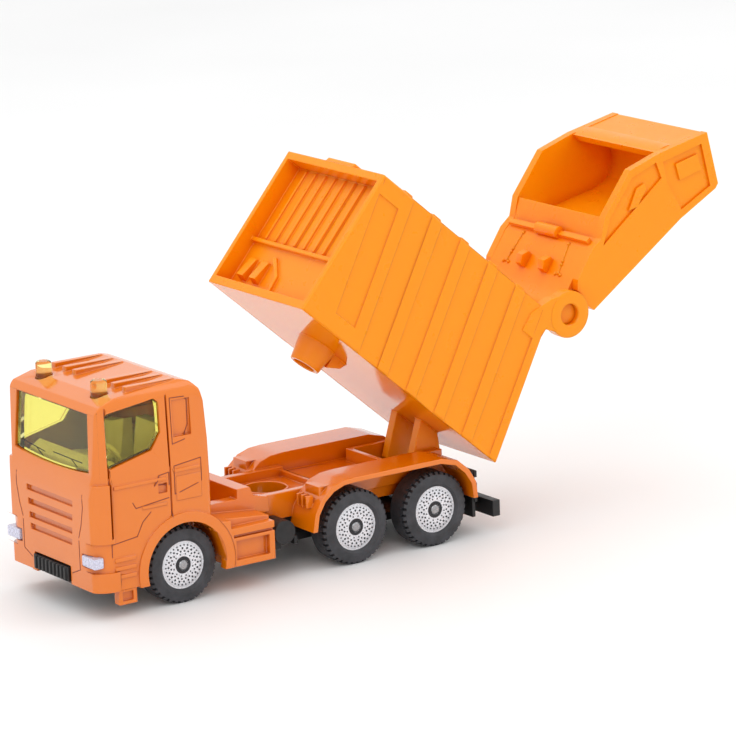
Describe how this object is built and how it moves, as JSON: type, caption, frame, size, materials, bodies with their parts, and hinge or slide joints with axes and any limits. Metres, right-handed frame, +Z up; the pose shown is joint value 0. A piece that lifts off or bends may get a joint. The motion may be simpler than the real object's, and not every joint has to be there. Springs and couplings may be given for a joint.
{
  "type": "toy refuse truck",
  "caption": "Die-cast toy refuse truck with a tipping container, a lift-up rear hopper, clear cab glazing, beacons and rolling wheels on tandem and front axles.",
  "frame": {"origin": "on the ground under the middle axle, in the centre plane between left and right", "axes": "+X forward towards the cab, +Y to the truck's left side, +Z up; stored with the container tipped and the hopper open"},
  "size_m": [0.1113, 0.025, 0.0564],
  "materials": {
    "orange_paint": "gloss enamel",
    "amber_plastic": "semi-gloss moulded",
    "black_plastic": "matte moulded",
    "yellow_clear": "clear tinted",
    "cream_plastic": "matte moulded",
    "steel_pin": "drawn",
    "silver_rim": "printed silver",
    "tyre_black": "matte moulded"
  },
  "bodies": {
    "chassis": {"cab_frame": "orange_paint", "glazing": "yellow_clear", "cab_interior": "cream_plastic", "base_plate": "black_plastic"},
    "front_wheels": {"axle_front": "steel_pin", "rim_front_left": "silver_rim", "rim_front_right": "silver_rim", "tyre_front_left": "tyre_black", "tyre_front_right": "tyre_black"},
    "middle_wheels": {"axle_middle": "steel_pin", "rim_middle_left": "silver_rim", "rim_middle_right": "silver_rim", "tyre_middle_left": "tyre_black", "tyre_middle_right": "tyre_black"},
    "rear_wheels": {"axle_rear": "steel_pin", "rim_rear_left": "silver_rim", "rim_rear_right": "silver_rim", "tyre_rear_left": "tyre_black", "tyre_rear_right": "tyre_black"},
    "container": {"container": "amber_plastic"},
    "hopper": {"tailgate": "amber_plastic"}
  },
  "joints": [
    {"name": "front_axle_spin", "type": "hinge", "parent": "chassis", "child": "front_wheels", "pos_m": [0.0292, 0, 0.0055], "axis": [0, 1, 0], "continuous": true},
    {"name": "middle_axle_spin", "type": "hinge", "parent": "chassis", "child": "middle_wheels", "pos_m": [0, 0, 0.0055], "axis": [0, 1, 0], "continuous": true},
    {"name": "rear_axle_spin", "type": "hinge", "parent": "chassis", "child": "rear_wheels", "pos_m": [-0.0139, 0, 0.0055], "axis": [0, 1, 0], "continuous": true},
    {"name": "container_tip", "type": "hinge", "parent": "chassis", "child": "container", "pos_m": [-0.0191, 0, 0.0086], "axis": [0, -1, 0], "range_deg": [-40.7, 0]},
    {"name": "hopper_lift", "type": "hinge", "parent": "container", "child": "hopper", "pos_m": [-0.03813, 0, 0.03081], "axis": [0, -1, 0], "range_deg": [0, 151]}
  ],
  "couplings": [
    {"joint": "hopper_lift", "follows": "container_tip", "ratio": -3.71}
  ]
}
